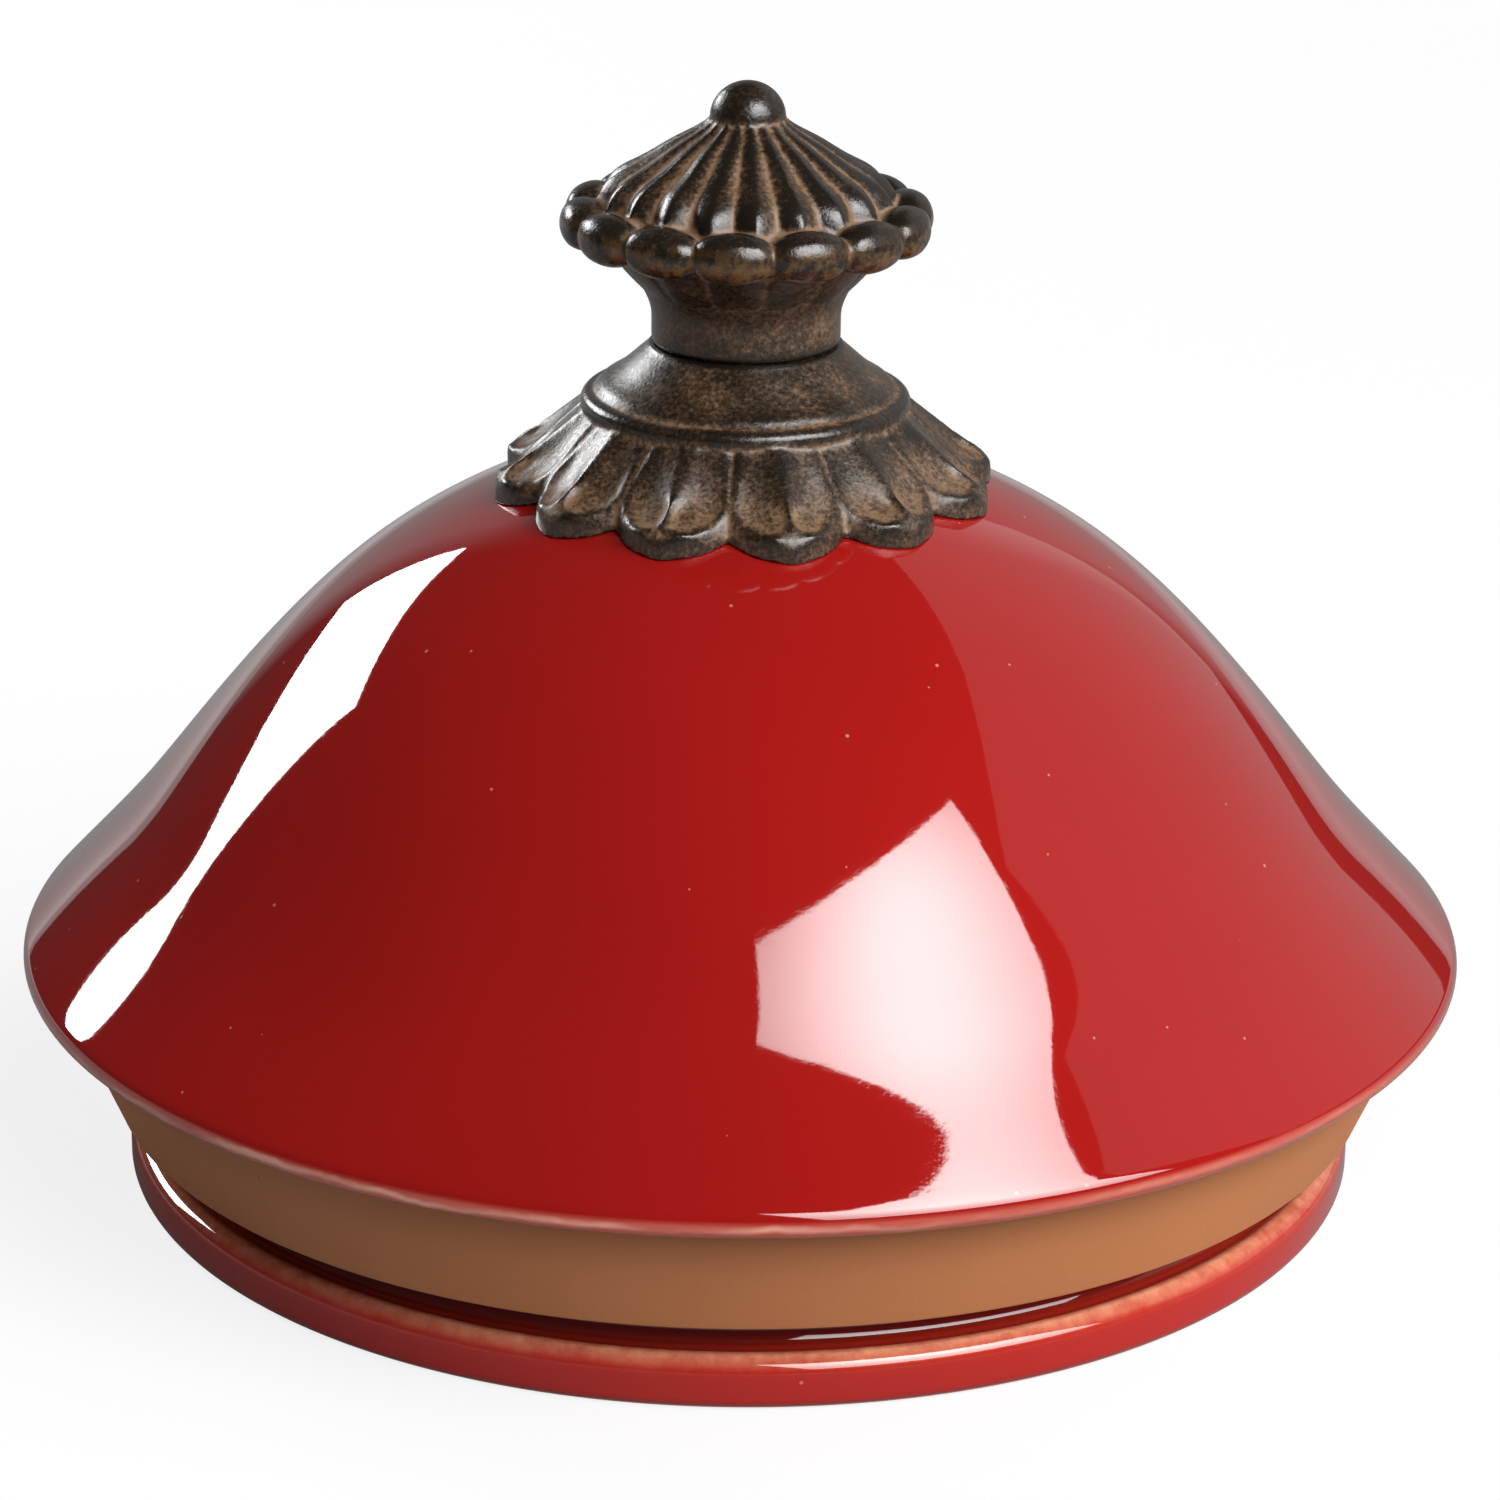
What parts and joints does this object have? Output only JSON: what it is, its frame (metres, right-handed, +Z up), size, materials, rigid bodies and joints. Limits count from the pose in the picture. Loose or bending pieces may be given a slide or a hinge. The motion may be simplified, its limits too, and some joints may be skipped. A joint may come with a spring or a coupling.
{
  "type": "canister lid",
  "caption": "Domed canister lid of red glazed ceramic with a lip seal round its plug neck and a petalled cast finial knob, clamped by a stud and nut.",
  "frame": {"origin": "on the lid's axis, in the plane of the foot ring's underside", "axes": "+Z up along the lid's axis to the finial; -Y is the side that faces the camera in the picture"},
  "size_m": [0.18, 0.18, 0.1373],
  "materials": {
    "red_glaze": "gloss",
    "seal_rubber": "satin",
    "cast_finish": "satin",
    "plated_steel": "satin",
    "pad_rubber": "matte"
  },
  "bodies": {
    "lid": {"lid_shell": "red_glaze", "seal_ring": "seal_rubber", "petal_collar": "cast_finish", "collar_pad": "pad_rubber", "inner_pad": "pad_rubber"},
    "finial": {"finial_knob": "cast_finish", "finial_stud": "plated_steel"},
    "nut": {"hex_nut": "plated_steel", "lock_washer": "plated_steel", "flat_washer": "plated_steel"}
  },
  "joints": [
    {"name": "finial_turn", "type": "hinge", "parent": "lid", "child": "finial", "pos_m": [0, 0, 0.1051], "axis": [0, 0, 1], "range_deg": [0, 1080]},
    {"name": "nut_travel", "type": "slide", "parent": "lid", "child": "nut", "axis": [0, 0, -1], "range_m": [0, 0.00301]}
  ],
  "couplings": [
    {"joint": "nut_travel", "follows": "finial_turn", "m_per_rad": 0.00015915}
  ]
}
